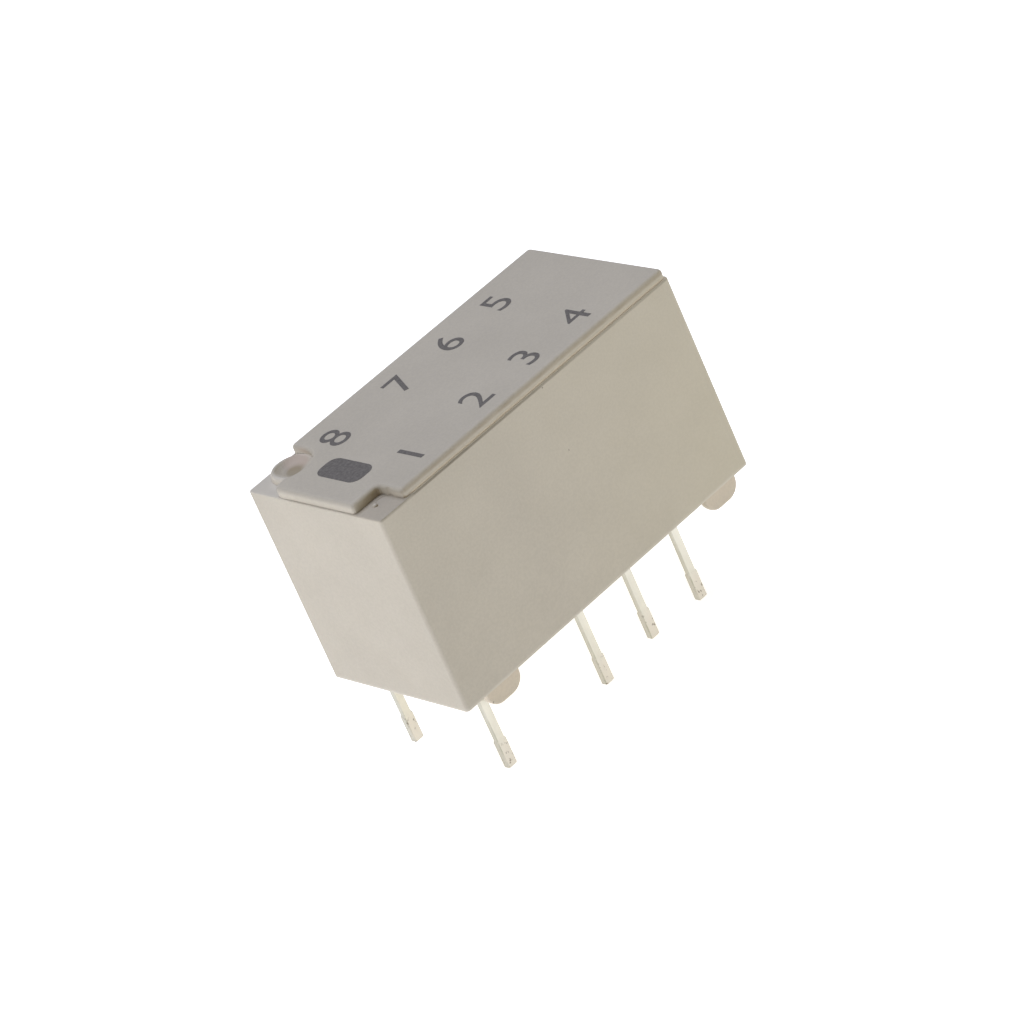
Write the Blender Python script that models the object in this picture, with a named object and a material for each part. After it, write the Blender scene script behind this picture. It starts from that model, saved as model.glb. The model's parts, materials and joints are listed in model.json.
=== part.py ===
"""Sealed two-pole signal relay for a printed circuit board, with its see-saw mechanism inside.

X runs along the case, Y across it, Z up. The origin is under the middle of the case, level with the
contact pins' tips. Near and far are the -X and +X ends, front and back the -Y and +Y sides.
"""

import math

import bmesh
import bpy

MM = 0.001

# Clearances
FIT = 0.03 * MM  # moulded or pressed together
SEAT = 0.02 * MM  # face resting on a face
RUNNING = 0.03 * MM  # pieces that move past or come to rest on each other

# Case
CASE_LENGTH = 14.8 * MM
CASE_WIDTH = 7.2 * MM
CASE_HEIGHT = 8.08 * MM
CASE_WALL = 0.35 * MM
CASE_ROOF = 0.3 * MM
CASE_CORNER = 0.15 * MM
CASE_DRAFT = 0.05 * MM  # how much further out each side is at the mouth than at the rim
INSIDE_CORNER = 2 * FIT
RIM_ROUND = 0.05 * MM
FLOOR_ROUND = 0.03 * MM
MOUTH_CHAMFER = 0.12 * MM
PANEL_RISE = 0.38 * MM
PANEL_END_INSET = 0.06 * MM
PANEL_FRONT_INSET = 0.08 * MM
PANEL_BACK_INSET = 0.05 * MM
PANEL_CORNER = 0.16 * MM
PANEL_ROUND = 0.14 * MM
POCKET_RADIUS = 0.92 * MM
POCKET_SWEEP = 138.0  # degrees that the pocket runs round the vent
POCKET_NEAR_ROUND = 0.3 * MM
VENT_FROM_END = 1.35 * MM
VENT_FROM_BACK = 0.9 * MM
VENT_RADIUS = 0.57 * MM
VENT_LIP_HEIGHT = 0.19 * MM
VENT_LIP_WIDTH = 0.28 * MM
VENT_BOWL_DEPTH = 0.23 * MM
VENT_SLUMP = 0.35  # share by which the lip is higher on one side and lower on the other
VENT_SPREAD = 0.62  # share by which the plastic ran further on the low side
VENT_HIGH_SIDE = 150.0  # degrees from +X
NOTCH_LENGTH = 1.32 * MM
NOTCH_WIDTH = 1.35 * MM
NOTCH_CORNER = 0.2 * MM
GATE_FROM_END = 1.0 * MM
GATE_FROM_FRONT = 0.81 * MM
GATE_RADIUS = 0.36 * MM
GATE_DEPTH = 0.01 * MM
GATE_STUB_SIDE = 154.0  # degrees from +X
GATE_STUB_RADIUS = 0.1 * MM
GATE_STUB_HEIGHT = 0.08 * MM

# Pins, on the 2.54 mm board grid: two steps between the rows, three from the coil pins to the common pins
GRID = 2.54 * MM
ROW_INSET = 1.06 * MM
PIN_REACH = 3.6 * MM
CONTACT_PIN_EXTRA = 0.15 * MM
PIN_WIDTH = 0.36 * MM
PIN_THICKNESS = 0.22 * MM
PIN_EDGE_CHAMFER = 0.035 * MM
PIN_TIP_BEVEL = 0.06 * MM
SOLDER_THICKNESS = 0.03 * MM
SOLDER_HEIGHT = 1.2 * MM
PIN_BEND = 0.1 * MM
COIL_PIN_SETBACK = 1.3 * MM
COIL_PIN_RISE = 1.5 * MM

# Base, feet and sealing resin
BASE_RECESS = 0.55 * MM
BASE_THICKNESS = 1.1 * MM
FOOT_DROP = 0.96 * MM
NEAR_FOOT_LENGTH = 1.66 * MM
FAR_FOOT_LENGTH = 1.67 * MM
FOOT_THICKNESS = 0.31 * MM
FOOT_ROUND = 0.6 * MM
FOOT_EDGE = 0.08 * MM
NEAR_FOOT_SETBACK = 1.16 * MM
POST_THICKNESS = 0.38 * MM
COMMON_POST_HALF = 0.36 * MM
END_BLOCK_WALL = 0.75 * MM
RESIN_RECESS = 0.12 * MM

# Fixed contacts
PLATE_HALF_LENGTH = 0.45 * MM
CONTACT_FROM_POLE = 1.08 * MM
FIXED_CONTACT_RADIUS = 0.15 * MM
FIXED_CONTACT_LENGTH = 0.7 * MM

# Moving springs and contacts
SPRING_FROM_ROW = 0.59 * MM
SPRING_WIDTH = 0.7 * MM
SPRING_THICKNESS = 0.08 * MM
SPRING_OVERHANG = 0.3 * MM
SPRING_SLOT = 0.12 * MM
SPRING_SLOT_LEAD = 0.1 * MM
HINGE_NECK = 0.24 * MM
HINGE_PAD_LENGTH = 0.5 * MM
HINGE_PAD_WIDTH = 0.42 * MM
MOVING_CONTACT_RADIUS = 0.12 * MM

# Armature
ROCK_DEGREES = 2.0
ARMATURE_SPRING_GAP = 0.2 * MM
ARMATURE_THICKNESS = 0.4 * MM
ARMATURE_KEY_LENGTH = 0.6 * MM
ARMATURE_KEY_DEPTH = 0.25 * MM
RIDGE_HEIGHT = 0.15 * MM
RIDGE_RADIUS = 0.3 * MM
BLOCK_COVER = 0.2 * MM
BLOCK_SHARE = 0.69  # of the contact arm
BLOCK_END_ROUND = 0.3 * MM
WING_SHARE = 0.38  # of the contact arm
WING_GAP = 0.48 * MM
WING_WALL = 0.14 * MM

# Electromagnet
CORE_THICKNESS = 0.8 * MM
CORE_MARGIN = 0.25 * MM
CORE_BEND = 0.5 * MM
POLE_MARGIN = 0.1 * MM
POLE_HEIGHT = 0.9 * MM
MAGNET_LENGTH = 0.9 * MM
MAGNET_MARGIN = 0.1 * MM
FLANGE_THICKNESS = 0.5 * MM
MIDDLE_FLANGE_WALL = 0.3 * MM
FLANGE_ROUND = 0.3 * MM
FLANGE_GAP = 0.12 * MM
FLANGE_SIDE_GAP = 0.2 * MM
TUBE_WALL = 0.3 * MM
WINDING_RECESS = 0.3 * MM
WINDING_ROUND = 0.9 * MM
COIL_BLOCK_HEIGHT = 0.8 * MM
COIL_END_LENGTH = 3.24 * MM
LEAD_RADIUS = 0.05 * MM
LEAD_TURNS = 3
LEAD_PITCH = 0.14 * MM
LEAD_STEPS = 14

# Lengths, along the case. The core takes the room between the coil end and the far wall.
INSIDE_HALF_LENGTH = CASE_LENGTH / 2 - CASE_WALL
CORE_FAR = INSIDE_HALF_LENGTH - FLANGE_SIDE_GAP
CORE_NEAR = -INSIDE_HALF_LENGTH + COIL_END_LENGTH
CORE_HALF = (CORE_FAR - CORE_NEAR) / 2
AXIS_X = (CORE_FAR + CORE_NEAR) / 2
LEG_INSIDE = CORE_HALF - CORE_THICKNESS
ARMATURE_HALF = CORE_HALF - RUNNING
FLANGE_OUTSIDE = LEG_INSIDE - FIT
CONTACT_ARM = CORE_HALF - CONTACT_FROM_POLE
BLOCK_HALF_LENGTH = BLOCK_SHARE * CONTACT_ARM
WING_HALF_LENGTH = WING_SHARE * CONTACT_ARM
MIDDLE_FLANGE_HALF = MAGNET_LENGTH / 2 + FIT + MIDDLE_FLANGE_WALL
COIL_PIN_X = -CASE_LENGTH / 2 + COIL_PIN_SETBACK
NEAR_PIN_X = AXIS_X - GRID
FAR_PIN_X = AXIS_X + GRID

# Widths, from the sides of the case inwards
INSIDE_HALF_WIDTH = CASE_WIDTH / 2 - CASE_WALL
FLANGE_HALF_WIDTH = INSIDE_HALF_WIDTH - FLANGE_SIDE_GAP
ROW_Y = CASE_WIDTH / 2 - ROW_INSET
SPRING_LINE = ROW_Y - SPRING_FROM_ROW
ARMATURE_WIDTH = 2 * (SPRING_LINE - SPRING_WIDTH / 2 - ARMATURE_SPRING_GAP)
CORE_WIDTH = ARMATURE_WIDTH - 2 * CORE_MARGIN
POLE_WIDTH = ARMATURE_WIDTH + 2 * POLE_MARGIN
MAGNET_WIDTH = ARMATURE_WIDTH - 2 * MAGNET_MARGIN

# Heights, from the tips of the contact pins up. The other pins are a little shorter.
CASE_FLOOR = PIN_REACH + CONTACT_PIN_EXTRA
RIM = CASE_FLOOR + CASE_HEIGHT
PANEL_TOP = RIM + PANEL_RISE
ROOF_UNDERSIDE = RIM - CASE_ROOF
BASE_UNDERSIDE = CASE_FLOOR + BASE_RECESS
BASE_TOP = BASE_UNDERSIDE + BASE_THICKNESS
PLATE_TOP = BASE_TOP + SEAT + PIN_THICKNESS
FIXED_CONTACT_TOP = PLATE_TOP + SEAT + FIXED_CONTACT_RADIUS
ROCK = math.radians(ROCK_DEGREES)
SPRING_Z = (
    FIXED_CONTACT_TOP
    + RUNNING
    + CONTACT_ARM * math.sin(ROCK)
    + MOVING_CONTACT_RADIUS
    + SEAT
    + SPRING_THICKNESS / 2
)
BLOCK_BOTTOM = SPRING_Z - BLOCK_COVER
BLOCK_TOP = SPRING_Z + BLOCK_COVER
ARMATURE_BOTTOM = BLOCK_TOP + SEAT
ARMATURE_TOP = ARMATURE_BOTTOM + ARMATURE_THICKNESS
AXIS_Z = ARMATURE_TOP + RIDGE_HEIGHT

# Electromagnet, from the axis up to the roof
POLE_Z = AXIS_Z - RIDGE_HEIGHT * math.cos(ROCK) + ARMATURE_HALF * math.sin(ROCK) + RUNNING
FLANGE_BOTTOM = POLE_Z + FLANGE_GAP
FLANGE_TOP = ROOF_UNDERSIDE - FLANGE_GAP
COIL_Z = (FLANGE_BOTTOM + FLANGE_TOP) / 2
CORE_UNDERSIDE = COIL_Z - CORE_THICKNESS / 2

SIDES = (("front", -1), ("back", 1))
ENDS = (("near", -1), ("far", 1))

# Colour, roughness and metallic value of each material
FINISHES = {
    "case_plastic": ((0.56, 0.52, 0.46), 0.55, 0.0),
    "base_plastic": ((0.57, 0.47, 0.38), 0.5, 0.0),
    "resin": ((0.62, 0.55, 0.42), 0.25, 0.0),
    "tinned_copper": ((0.75, 0.74, 0.70), 0.3, 1.0),
    "black_plastic": ((0.03, 0.03, 0.035), 0.5, 0.0),
    "magnet_wire": ((0.55, 0.16, 0.05), 0.35, 0.6),
    "soft_iron": ((0.50, 0.49, 0.47), 0.35, 1.0),
    "magnet": ((0.12, 0.12, 0.12), 0.45, 0.8),
    "spring_copper": ((0.72, 0.42, 0.22), 0.3, 1.0),
    "silver_contact": ((0.85, 0.84, 0.80), 0.2, 1.0),
    "white_plastic": ((0.75, 0.74, 0.70), 0.5, 0.0),
}


def clear_scene():
    for item in list(bpy.data.objects):
        bpy.data.objects.remove(item)


def finish(name):
    """The material of that name, made once."""
    if name in bpy.data.materials:
        return bpy.data.materials[name]
    colour, roughness, metallic = FINISHES[name]
    material = bpy.data.materials.new(name)
    material.use_nodes = True
    shader = material.node_tree.nodes["Principled BSDF"]
    shader.inputs["Base Color"].default_value = (*colour, 1)
    shader.inputs["Roughness"].default_value = roughness
    shader.inputs["Metallic"].default_value = metallic
    return material


def dress(item, material, smooth_angle=30):
    """Gives the object its material and smooths its round faces."""
    item.data.materials.clear()
    item.data.materials.append(finish(material))
    if item.type == "MESH":
        item.data.shade_smooth()
        item.data.set_sharp_from_angle(angle=math.radians(smooth_angle))
    return item


def add_object(name, shape):
    """An object made from a bmesh, with its faces turned outwards."""
    bmesh.ops.recalc_face_normals(shape, faces=shape.faces)
    mesh = bpy.data.meshes.new(name)
    shape.to_mesh(mesh)
    shape.free()
    item = bpy.data.objects.new(name, mesh)
    bpy.context.scene.collection.objects.link(item)
    return item


# A prism's outline is (x, y) for axis Z, (x, z) for axis Y and (y, z) for axis X.
POINT = {
    "X": lambda u, v, along: (along, u, v),
    "Y": lambda u, v, along: (u, along, v),
    "Z": lambda u, v, along: (u, v, along),
}


def skin(name, rings):
    """A closed solid through rings of points, all with the same count."""
    shape = bmesh.new()
    loops = [[shape.verts.new(point) for point in ring] for ring in rings]
    shape.faces.new(loops[0])
    shape.faces.new(loops[-1])
    for lower, upper in zip(loops, loops[1:]):
        for i in range(len(lower)):
            j = (i + 1) % len(lower)
            shape.faces.new((lower[i], lower[j], upper[j], upper[i]))
    return add_object(name, shape)


def prism(name, outline, low, high, axis="Z"):
    """A closed outline pushed along one axis, from low to high."""
    return skin(name, [[POINT[axis](u, v, along) for u, v in outline] for along in (low, high)])


def box(name, low, high):
    """A block between two corners."""
    outline = ((low[0], low[1]), (high[0], low[1]), (high[0], high[1]), (low[0], high[1]))
    return prism(name, outline, low[2], high[2])


def arc(centre, radius, start, end, steps=4):
    """Points on a circle from one angle to another, in degrees, ends included."""
    points = []
    for i in range(steps + 1):
        angle = math.radians(start + (end - start) * i / steps)
        points.append((centre[0] + radius * math.cos(angle), centre[1] + radius * math.sin(angle)))
    return points


def rounded(low, high, radius, steps=4):
    """A rectangle with round corners, anticlockwise from its lower right one."""
    u0, v0 = low[0] + radius, low[1] + radius
    u1, v1 = high[0] - radius, high[1] - radius
    return (
        arc((u1, v0), radius, -90, 0, steps)
        + arc((u1, v1), radius, 0, 90, steps)
        + arc((u0, v1), radius, 90, 180, steps)
        + arc((u0, v0), radius, 180, 270, steps)
    )


def mitres(path):
    """For each point of a path, the vector to the left edge of a strip of half thickness one."""
    vectors = []
    for i, point in enumerate(path):
        before = path[max(i - 1, 0)]
        after = path[min(i + 1, len(path) - 1)]
        into = direction(before, point) or direction(point, after)
        out = direction(point, after) or into
        normal = (-(into[1] + out[1]), into[0] + out[0])
        reach = 2 / (normal[0] ** 2 + normal[1] ** 2)
        vectors.append((normal[0] * reach, normal[1] * reach))
    return vectors


def ribbon(path, thickness):
    """The outline of a strip of even thickness along a path."""
    half = thickness / 2
    sides = mitres(path)
    left = [(u + side[0] * half, v + side[1] * half) for (u, v), side in zip(path, sides)]
    right = [(u - side[0] * half, v - side[1] * half) for (u, v), side in zip(path, sides)]
    return left + right[::-1]


def direction(start, end):
    """The unit vector from start to end, or None where they are one point."""
    size = math.hypot(end[0] - start[0], end[1] - start[1])
    return ((end[0] - start[0]) / size, (end[1] - start[1]) / size) if size else None


def combine(target, tool, operation):
    """Runs a Boolean on the target and removes the tool."""
    modifier = target.modifiers.new(operation.title(), "BOOLEAN")
    modifier.operation = operation
    modifier.object = tool
    graph = bpy.context.evaluated_depsgraph_get()
    mesh = bpy.data.meshes.new_from_object(target.evaluated_get(graph))
    target.modifiers.remove(modifier)
    plain = target.data
    name = plain.name
    target.data = mesh
    bpy.data.meshes.remove(plain)
    mesh.name = name
    bpy.data.objects.remove(tool)
    return target


def cut(target, tool):
    return combine(target, tool, "DIFFERENCE")


def join(target, tool):
    return combine(target, tool, "UNION")


def bevel(item, width, segments, chosen):
    """Rounds the edges for which chosen(first corner, second corner) holds."""
    shape = bmesh.new()
    shape.from_mesh(item.data)
    edges = [edge for edge in shape.edges if chosen(edge.verts[0].co, edge.verts[1].co)]
    bmesh.ops.bevel(
        shape, geom=edges, offset=width, segments=segments, profile=0.5, affect="EDGES", clamp_overlap=True
    )
    shape.to_mesh(item.data)
    shape.free()
    return item


def level(height):
    """Chooses the edges that lie flat at that height."""
    return lambda a, b: abs(a.z - height) < SEAT / 10 and abs(b.z - height) < SEAT / 10


def place(item, parent):
    """Puts a piece modelled round the rocking axis under the empty that carries it."""
    item.parent = parent
    return item


# Case


def panel_outline():
    """The raised top panel: a rectangle less the vent pocket and the corner notch."""
    left = -CASE_LENGTH / 2 + PANEL_END_INSET
    right = -left
    front = -CASE_WIDTH / 2 + PANEL_FRONT_INSET
    back = CASE_WIDTH / 2 - PANEL_BACK_INSET
    notch_x = -CASE_LENGTH / 2 + NOTCH_LENGTH
    notch_y = -CASE_WIDTH / 2 + NOTCH_WIDTH
    vent_x, vent_y = vent_middle()
    pocket_x = vent_x + POCKET_RADIUS
    pocket_y = vent_y - POCKET_RADIUS * math.sin(math.radians(POCKET_SWEEP))
    r = PANEL_CORNER
    n = NOTCH_CORNER
    p = POCKET_NEAR_ROUND
    return (
        arc((notch_x + r, front + r), r, 180, 270, 3)
        + arc((right - r, front + r), r, -90, 0, 3)
        + arc((right - r, back - r), r, 0, 90, 3)
        + arc((pocket_x + r, back - r), r, 90, 180, 3)
        + arc((vent_x, vent_y), POCKET_RADIUS, 0, -POCKET_SWEEP, 14)
        + arc((left + p, pocket_y - p), p, 90, 180, 5)
        + arc((left + r, notch_y + r), r, 180, 270, 3)
        + arc((notch_x - n, notch_y - n), n, 90, 0, 4)
    )


def vent_middle():
    return -CASE_LENGTH / 2 + VENT_FROM_END, CASE_WIDTH / 2 - VENT_FROM_BACK


def vent_profile():
    """Half section of the vent, melted shut: a round lip about a shallow bowl."""
    lip = [
        (VENT_RADIUS + VENT_LIP_WIDTH / 2 * u, VENT_LIP_HEIGHT * v)
        for u, v in arc((0, 0), 1, 0, 110, 6)
    ]
    edge, height = lip[-1]
    bowl = [(edge * share, height - VENT_BOWL_DEPTH * (1 - share**2)) for share in (0.88, 0.7, 0.45, 0.15)]
    return lip + bowl


def melted_ring(radius, height, slump):
    """A ring about the vent's middle, drawn out towards its low side."""
    middle = vent_middle()
    ring = []
    for u, v, z in level_ring((0, 0), radius, RIM):
        lean = math.cos(math.atan2(v, u) - math.radians(VENT_HIGH_SIDE))
        spread = 1 + VENT_SPREAD * (1 - lean) / 2
        ring.append((middle[0] + u * spread, middle[1] + v * spread, z + height * (1 + slump * lean)))
    return ring


def make_vent():
    """The profile turned about the vent's middle, slumped to one side and run against the pocket's wall."""
    rings = [melted_ring(VENT_RADIUS + VENT_LIP_WIDTH / 2, -CASE_ROOF / 2, 0)]
    for radius, height in vent_profile():
        rings.append(melted_ring(radius, height, VENT_SLUMP))
    return skin("vent", rings)


def level_ring(middle, radius, z, steps=28):
    return [(x, y, z) for x, y in arc(middle, radius, 0, 360, steps)[:-1]]


def make_shell():
    """The solid outer form of the case, a little wider at the mouth."""
    rings = []
    for z, grow in ((CASE_FLOOR, CASE_DRAFT), (RIM, 0)):
        half = (CASE_LENGTH / 2 + grow, CASE_WIDTH / 2 + grow)
        rings.append([(x, y, z) for x, y in rounded((-half[0], -half[1]), half, CASE_CORNER)])
    return skin("case", rings)


def make_case():
    shell = make_shell()
    bevel(shell, RIM_ROUND, 2, level(RIM))
    bevel(shell, FLOOR_ROUND, 2, level(CASE_FLOOR))
    panel = prism("panel", panel_outline(), RIM - CASE_ROOF / 2, PANEL_TOP)
    bevel(panel, PANEL_ROUND, 4, level(PANEL_TOP))
    join(shell, panel)
    inside = (INSIDE_HALF_LENGTH, INSIDE_HALF_WIDTH)
    cavity = prism(
        "cavity",
        rounded((-inside[0], -inside[1]), inside, INSIDE_CORNER),
        CASE_FLOOR - CASE_WALL,
        ROOF_UNDERSIDE,
    )
    cut(shell, cavity)
    cut(shell, mouth_chamfer())
    join(shell, make_vent())
    cut(shell, gate_disc())
    join(shell, gate_stub())
    return dress(shell, "case_plastic")


def mouth_chamfer():
    """A frustum that widens the mouth of the case, so that the base starts in easily."""
    rings = []
    for grow, z in ((MOUTH_CHAMFER * 2, CASE_FLOOR - MOUTH_CHAMFER), (0, CASE_FLOOR + MOUTH_CHAMFER)):
        half = (INSIDE_HALF_LENGTH + grow - MOUTH_CHAMFER / 2, INSIDE_HALF_WIDTH + grow - MOUTH_CHAMFER / 2)
        rings.append([(x, y, z) for x, y in rounded((-half[0], -half[1]), half, INSIDE_CORNER)])
    return skin("mouth", rings)


def gate_middle():
    return -CASE_LENGTH / 2 + GATE_FROM_END, -CASE_WIDTH / 2 + GATE_FROM_FRONT


def gate_disc():
    """Cuts the shallow disc in the notch, where the plastic came in."""
    disc = arc(gate_middle(), GATE_RADIUS, 0, 360, 24)[:-1]
    return prism("gate", disc, RIM - GATE_DEPTH, RIM + PANEL_RISE)


def gate_stub():
    """What was left of the plastic when it was torn off at the edge of the disc."""
    middle = arc(gate_middle(), GATE_RADIUS, GATE_STUB_SIDE, GATE_STUB_SIDE)[0]
    profile = [(GATE_STUB_RADIUS, -CASE_ROOF / 2)]
    profile += [(GATE_STUB_RADIUS * u, GATE_STUB_HEIGHT * v) for u, v in arc((0, 0), 1, 0, 75, 3)]
    return skin("stub", [level_ring(middle, radius, RIM + height, 12) for radius, height in profile])


# Pins


def dipped_end(y, low):
    """The lower end of a pin as (y, z, growth of its section): a bevelled tip, then a coat of solder."""
    return [
        (y, low, SOLDER_THICKNESS - PIN_TIP_BEVEL),
        (y, low + PIN_TIP_BEVEL, SOLDER_THICKNESS),
        (y, low + SOLDER_HEIGHT - 2 * SOLDER_THICKNESS, SOLDER_THICKNESS),
        (y, low + SOLDER_HEIGHT, 0),
    ]


def pin_blank(name, x, stations):
    """A flat pin with chamfered edges through (y, z, growth of its section)."""
    rings = []
    sides = mitres([(y, z) for y, z, _ in stations])
    for (y, z, grow), side in zip(stations, sides):
        half = (PIN_WIDTH / 2 + grow, PIN_THICKNESS / 2 + grow)
        section = rounded((-half[0], -half[1]), half, PIN_EDGE_CHAMFER, 1)
        rings.append([(x + u, y + v * side[0], z + v * side[1]) for u, v in section])
    return skin(name, rings)


def pin_hole(x, side, low, high):
    """A cutter round one pin."""
    half_x = PIN_WIDTH / 2 + FIT
    half_y = PIN_THICKNESS / 2 + FIT
    y = side * ROW_Y
    return box("pin_hole", (x - half_x, y - half_y, low), (x + half_x, y + half_y, high))


def bent_pin(name, x, side, low, towards, reach, height):
    """A pin that goes up from its tip, round a bend and out or in along Y."""
    y = side * ROW_Y
    step = side * towards
    bend = PIN_BEND + PIN_THICKNESS / 2
    start = 180 if step > 0 else 0
    path = arc((y + step * bend, height - bend), bend, start, 90, 4) + [(y + step * reach, height)]
    return pin_blank(name, x, dipped_end(y, low) + [(u, v, 0) for u, v in path])


def make_coil_pin(label, side):
    y = side * ROW_Y
    top = FLANGE_BOTTOM + COIL_BLOCK_HEIGHT + COIL_PIN_RISE
    stations = dipped_end(y, CONTACT_PIN_EXTRA) + [(y, top, 0)]
    return dress(pin_blank(f"coil_pin_{label}", COIL_PIN_X, stations), "tinned_copper")


def make_common_pin(label, side):
    """A pin whose top is bent outwards, under the hinge pad of the spring."""
    height = SPRING_Z - SPRING_THICKNESS / 2 - RUNNING - PIN_THICKNESS / 2
    reach = hinge_pad_end() - ROW_Y
    pin = bent_pin(f"common_pin_{label}", AXIS_X, side, CONTACT_PIN_EXTRA, 1, reach, height)
    return dress(pin, "tinned_copper")


def make_contact_pin(end, direction_x, label, side):
    """A pin whose top is bent inwards and runs on as a plate under the fixed contact."""
    pin_x = AXIS_X + direction_x * GRID
    height = PLATE_TOP - PIN_THICKNESS / 2
    inner = SPRING_LINE - SPRING_WIDTH / 2
    pin = bent_pin(f"{end}_contact_pin_{label}", pin_x, side, 0, -1, ROW_Y - inner, height)
    plate_end = AXIS_X + direction_x * (CONTACT_ARM + PLATE_HALF_LENGTH)
    xs = sorted((pin_x - direction_x * PIN_WIDTH / 2, plate_end))
    ys = sorted((side * inner, side * (SPRING_LINE + SPRING_WIDTH / 2)))
    plate = box("plate", (xs[0], ys[0], height - PIN_THICKNESS / 2), (xs[1], ys[1], PLATE_TOP))
    return dress(join(pin, plate), "tinned_copper")


def make_fixed_contact(end, direction_x, label, side):
    """A half-round crossbar along X, on the plate."""
    bottom = PLATE_TOP + SEAT
    x = AXIS_X + direction_x * CONTACT_ARM
    outline = arc((side * SPRING_LINE, bottom), FIXED_CONTACT_RADIUS, 0, 180, 8)
    half = FIXED_CONTACT_LENGTH / 2
    bar = prism(f"fixed_contact_{label}_{end}", outline, x - half, x + half, "X")
    return dress(bar, "silver_contact")


# Base and resin


def foot_spans():
    """The stretches along X that the near and far feet take."""
    near = -CASE_LENGTH / 2 + NEAR_FOOT_SETBACK
    far = INSIDE_HALF_LENGTH - FIT
    return (near, near + NEAR_FOOT_LENGTH), (far - FAR_FOOT_LENGTH, far)


def foot_outline(span, grow, high):
    """A foot seen from the side, with round lower corners, as (x, z)."""
    x0, x1 = span[0] - grow, span[1] + grow
    low = CASE_FLOOR - FOOT_DROP - grow
    r = FOOT_ROUND + grow
    corners = arc((x0 + r, low + r), r, 180, 270, 8) + arc((x1 - r, low + r), r, 270, 360, 8)
    return corners + [(x1, high), (x0, high)]


def foot(span, side):
    """One standoff foot, its edges rounded."""
    outer = INSIDE_HALF_WIDTH - FIT
    inner = outer - FOOT_THICKNESS
    high = BASE_UNDERSIDE + BASE_THICKNESS / 2
    r = FOOT_EDGE
    profile = arc((inner + r, r), r, 180, 270, 3) + arc((outer - r, r), r, 270, 360, 3)
    rings = [[(u, side * y, v) for u, v in foot_outline(span, -inset, high)] for y, inset in profile]
    return skin("foot", rings)


def foot_hole(span, side):
    """A cutter that clears a foot."""
    outer = INSIDE_HALF_WIDTH - FIT
    ys = sorted((side * (outer + FIT), side * (outer - FOOT_THICKNESS - FIT)))
    return prism("foot_hole", foot_outline(span, FIT, BASE_TOP), ys[0], ys[1], "Y")


def pin_columns():
    return (COIL_PIN_X, NEAR_PIN_X, AXIS_X, FAR_PIN_X)


def make_base():
    inside = (INSIDE_HALF_LENGTH - FIT, INSIDE_HALF_WIDTH - FIT)
    base = prism(
        "base",
        rounded((-inside[0], -inside[1]), inside, INSIDE_CORNER),
        BASE_UNDERSIDE,
        BASE_TOP,
    )
    for _, side in SIDES:
        for span in foot_spans():
            join(base, foot(span, side))
        join(base, common_post(side))
        for _, direction_x in ENDS:
            join(base, flange_post(direction_x, side))
    join(base, end_block())
    for _, side in SIDES:
        for x in pin_columns():
            cut(base, pin_hole(x, side, 0, FLANGE_BOTTOM))
    return dress(base, "base_plastic")


def common_post(side):
    """Holds a common pin up to its bend."""
    top = SPRING_Z - SPRING_THICKNESS / 2 - RUNNING - PIN_THICKNESS - SEAT
    ys = sorted((side * (ROW_Y - PIN_THICKNESS), side * (INSIDE_HALF_WIDTH - FIT)))
    x0, x1 = AXIS_X - COMMON_POST_HALF, AXIS_X + COMMON_POST_HALF
    return box("post", (x0, ys[0], BASE_TOP - SEAT), (x1, ys[1], top))


def flange_post(direction_x, side):
    """Carries one corner of the bobbin."""
    outer = INSIDE_HALF_WIDTH - FIT
    ys = sorted((side * (outer - POST_THICKNESS), side * outer))
    flange = AXIS_X + direction_x * FLANGE_OUTSIDE
    xs = sorted((flange, flange - direction_x * FLANGE_THICKNESS))
    return box("post", (xs[0], ys[0], BASE_TOP - SEAT), (xs[1], ys[1], FLANGE_BOTTOM - SEAT))


def end_block_x():
    """The near and far faces of the hollow block that carries the coil pins."""
    return -INSIDE_HALF_LENGTH + FIT, AXIS_X - CORE_HALF - FLANGE_SIDE_GAP


def end_block():
    outer = INSIDE_HALF_WIDTH - FIT
    x0, x1 = end_block_x()
    block = box("block", (x0, -outer, BASE_TOP - SEAT), (x1, outer, FLANGE_BOTTOM - SEAT))
    inner = outer - 2 * END_BLOCK_WALL
    hollow = box("hollow", (x0 + END_BLOCK_WALL, -inner, BASE_TOP), (x1 + FIT, inner, FLANGE_BOTTOM))
    return cut(block, hollow)


def make_resin():
    inside = (INSIDE_HALF_LENGTH - SEAT, INSIDE_HALF_WIDTH - SEAT)
    low = CASE_FLOOR + RESIN_RECESS
    high = BASE_UNDERSIDE - SEAT
    resin = prism("seal_resin", rounded((-inside[0], -inside[1]), inside, INSIDE_CORNER), low, high)
    for _, side in SIDES:
        for span in foot_spans():
            cut(resin, foot_hole(span, side))
        for x in pin_columns():
            cut(resin, pin_hole(x, side, 0, BASE_TOP))
    return dress(resin, "resin")


# Electromagnet


def core_strip(name, grow):
    """The strip of soft iron bent into a U with its legs down, or the space that clears it."""
    r = CORE_BEND + CORE_THICKNESS / 2
    leg = CORE_HALF - CORE_THICKNESS / 2
    path = (
        [(AXIS_X - leg, POLE_Z)]
        + arc((AXIS_X - leg + r, COIL_Z - r), r, 180, 90, 5)
        + arc((AXIS_X + leg - r, COIL_Z - r), r, 90, 0, 5)
        + [(AXIS_X + leg, POLE_Z)]
    )
    half_width = CORE_WIDTH / 2 + grow
    return prism(name, ribbon(path, CORE_THICKNESS + 2 * grow), -half_width, half_width, "Y")


def make_core():
    """The U, with a wide pole at the foot of each leg."""
    core = core_strip("iron_core", 0)
    for _, direction_x in ENDS:
        xs = sorted((AXIS_X + direction_x * LEG_INSIDE, AXIS_X + direction_x * CORE_HALF))
        half = POLE_WIDTH / 2
        join(core, box("pole", (xs[0], -half, POLE_Z), (xs[1], half, POLE_Z + POLE_HEIGHT)))
    return dress(core, "soft_iron")


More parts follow.
